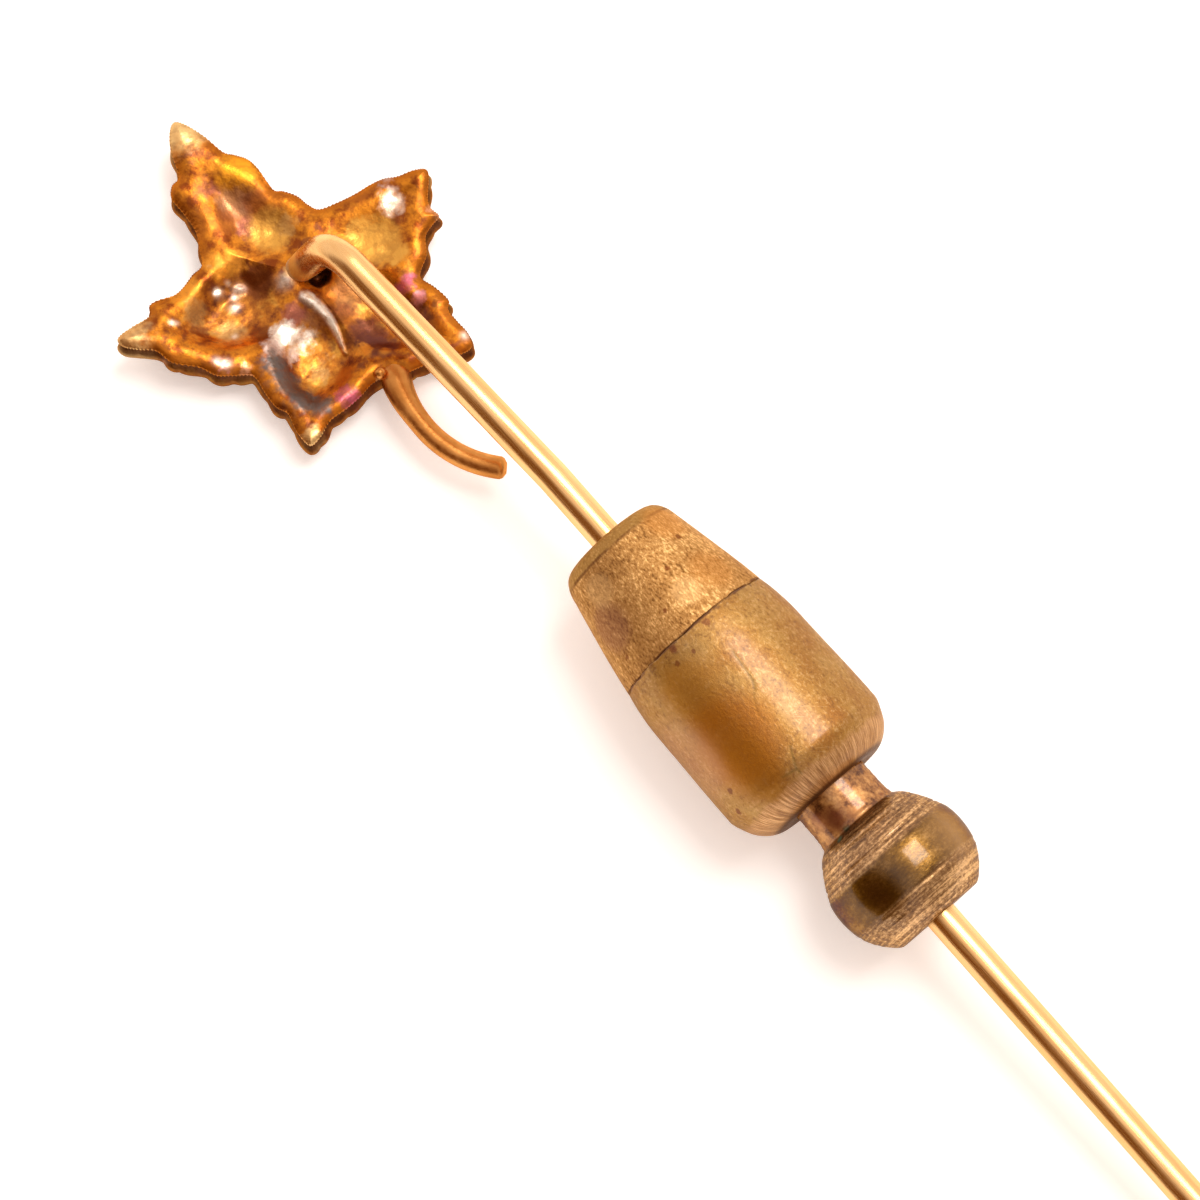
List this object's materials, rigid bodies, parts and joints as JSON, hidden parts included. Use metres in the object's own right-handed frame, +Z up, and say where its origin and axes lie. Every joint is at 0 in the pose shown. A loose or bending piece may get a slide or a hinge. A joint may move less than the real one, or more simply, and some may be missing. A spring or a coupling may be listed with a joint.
{
  "type": "stick pin",
  "caption": "Stick pin with a small hollow-backed leaf and its stalk on a bent wire, and a turned brass clutch with a pull knob that slides on the wire.",
  "frame": {"origin": "on the surface that the pin lies on, under the middle of its length and width", "axes": "+X from the leaf to the point, +Z up, away from the surface"},
  "size_m": [0.0626, 0.0096, 0.0051],
  "materials": {
    "gold": "polished gold wire, and a cast leaf with an orange-brown heat tint",
    "nose_brass": "aged brass, matt and scraped",
    "barrel_brass": "aged brass, satin",
    "knob_brass": "aged brass with turning marks"
  },
  "bodies": {
    "pin": {"leaf_pin": "gold"},
    "clutch": {"clutch_nose": "nose_brass", "clutch_barrel": "barrel_brass"},
    "knob": {"clutch_knob": "knob_brass"}
  },
  "joints": [
    {"name": "clutch_slide", "type": "slide", "parent": "pin", "child": "clutch", "axis": [0.999, 0, -0.0454], "range_m": [-0.0015, 0.048]},
    {"name": "knob_pull", "type": "slide", "parent": "clutch", "child": "knob", "axis": [0.999, 0, -0.0454], "range_m": [0, 0.001], "stiffness_N_per_m": 1000}
  ]
}
